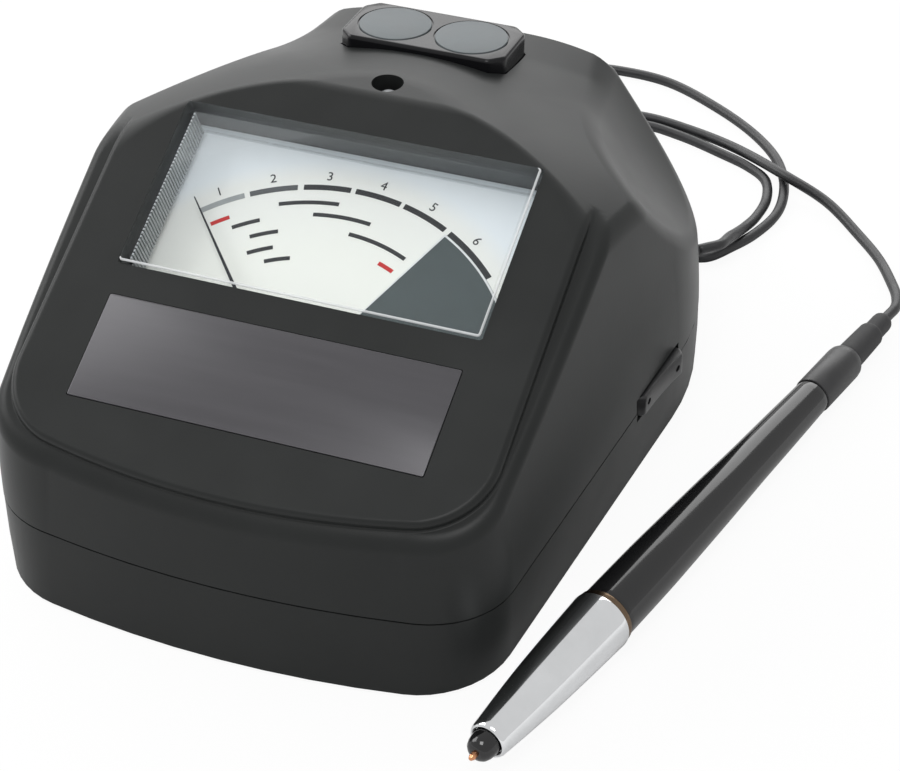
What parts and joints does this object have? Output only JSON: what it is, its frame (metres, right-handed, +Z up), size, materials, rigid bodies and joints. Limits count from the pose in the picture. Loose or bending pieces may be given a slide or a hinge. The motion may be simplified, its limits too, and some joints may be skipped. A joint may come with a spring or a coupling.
{
  "type": "gemstone tester",
  "caption": "Bench gemstone tester with a sloping analog meter, reference discs and a thermal probe pen lying beside it on a thin cord.",
  "frame": {"origin": "centre of the case's footprint, on the surface that it stands on", "axes": "+X to the right of someone reading the dial, +Y to the back, +Z up"},
  "size_m": [0.148, 0.2171, 0.0669],
  "materials": {
    "case_plastic": "satin, finely textured",
    "base_plastic": "satin, finely textured",
    "nameplate_film": "satin",
    "clear_window": "polished",
    "meter_black": "matte",
    "dial_white": "matte",
    "dial_ink": "matte",
    "needle_black": "matte",
    "steel": "satin",
    "copper_wire": "satin",
    "brass": "polished",
    "magnet_iron": "satin",
    "holder_gloss": "glossy",
    "disc_stone": "satin",
    "lamp_clear": "polished",
    "button_black": "satin",
    "board_green": "satin",
    "chip_black": "matte",
    "cell_wrap": "satin",
    "contact_nickel": "polished",
    "rubber_black": "matte",
    "cord_black": "satin",
    "ferrule_chrome": "polished",
    "ring_bronze": "satin",
    "pen_black": "glossy",
    "collar_satin": "satin",
    "copper_tip": "satin"
  },
  "bodies": {
    "case": {"upper_case": "case_plastic", "base_cover": "base_plastic", "nameplate": "nameplate_film", "meter_window": "clear_window", "meter_housing": "meter_black", "dial_plate": "dial_white", "dial_scale": "dial_ink", "hairspring": "brass", "magnet_yoke": "magnet_iron", "magnet_core": "magnet_iron", "meter_bridge": "brass", "lower_bearing": "brass", "meter_screws": "steel", "disc_holder": "holder_gloss", "disc_left": "disc_stone", "disc_right": "disc_stone", "ready_lamp": "lamp_clear", "switch_body": "meter_black", "circuit_board": "board_green", "board_parts": "chip_black", "board_screws": "steel", "battery_cells": "cell_wrap", "battery_contacts": "contact_nickel", "power_jack": "meter_black", "jack_pin": "contact_nickel", "case_screws": "steel", "rubber_feet": "rubber_black", "strain_relief": "rubber_black", "cord_case_end": "cord_black", "cord_coil": "cord_black", "cord_pen_end": "cord_black"},
    "movement": {"pointer": "needle_black", "pointer_staff": "steel", "moving_coil": "copper_wire"},
    "rocker": {"power_button": "button_black"},
    "door": {"battery_door": "base_plastic"},
    "pen": {"pen_nose": "pen_black", "pen_ferrule": "ferrule_chrome", "pen_ring": "ring_bronze", "pen_barrel": "pen_black", "pen_collar": "collar_satin", "pen_sleeve": "rubber_black", "pen_carrier": "meter_black"},
    "probe": {"probe_rod": "copper_tip", "probe_spring": "contact_nickel"}
  },
  "joints": [
    {"name": "pointer_swing", "type": "hinge", "parent": "case", "child": "movement", "pos_m": [0, -0.04057, 0.03231], "axis": [0, 0.3891, -0.9212], "range_deg": [0, 85], "stiffness_Nm_per_rad": 0.00005, "springref_deg": -11.46},
    {"name": "rocker_tilt", "type": "hinge", "parent": "case", "child": "rocker", "pos_m": [0.05087, 0.00542, 0.0164], "axis": [0, 0, -1], "range_deg": [0, 8]},
    {"name": "door_release", "type": "slide", "parent": "case", "child": "door", "axis": [0, 0, -1], "range_m": [0, 0.02]},
    {"name": "pen_lift", "type": "slide", "parent": "case", "child": "pen", "axis": [0, 0, 1], "range_m": [0, 0.06]},
    {"name": "probe_push", "type": "slide", "parent": "pen", "child": "probe", "axis": [0.2461, 0.969, -0.0236], "range_m": [0, 0.0012], "stiffness_N_per_m": 400, "springref_m": -0.001}
  ]
}
